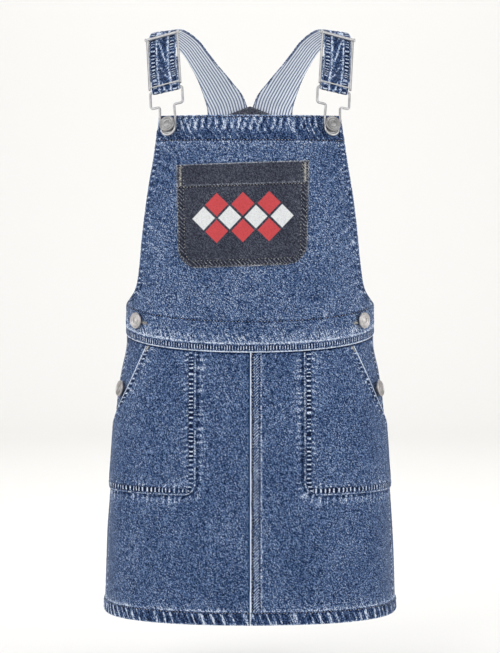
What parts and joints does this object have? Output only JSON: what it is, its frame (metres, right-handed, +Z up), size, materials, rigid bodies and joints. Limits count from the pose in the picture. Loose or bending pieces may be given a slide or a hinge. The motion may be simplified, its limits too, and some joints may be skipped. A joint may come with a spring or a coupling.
{
  "type": "pinafore dress",
  "caption": "Child's denim dungaree dress, filled out with nobody in it: bib, button-side skirt, patch pockets, and straps on wire hooks",
  "frame": {"origin": "Midway between the two places where the straps rest on the shoulders", "axes": "+Z up, the front towards -Y, +X to the right of someone who looks at the front"},
  "size_m": [0.3208, 0.2362, 0.6362],
  "materials": {
    "denim": "washed mid-blue twill, paler along its seams and folds",
    "dark_denim": "dark grey-blue washed twill",
    "ticking": "off-white plain weave with narrow blue-grey stripes",
    "nickel": "dull nickel plate"
  },
  "bodies": {
    "root": {"skirt_front_left": "denim", "skirt_front_right": "denim", "skirt_back": "denim", "bib_front": "denim", "bib_back": "denim", "chest_pocket": "dark_denim", "hip_pocket_left": "denim", "hip_pocket_right": "denim", "side_placket_left": "denim", "side_placket_right": "denim", "strap_left": "denim", "strap_right": "denim", "strap_lining_left": "ticking", "strap_lining_right": "ticking", "back_patch": "dark_denim", "hook_left": "nickel", "hook_right": "nickel", "adjuster_left": "nickel", "adjuster_right": "nickel", "button_bib_left": "nickel", "button_bib_right": "nickel", "button_waist_left": "nickel", "button_waist_right": "nickel", "button_hip_left": "nickel", "button_hip_right": "nickel"}
  },
  "joints": []
}
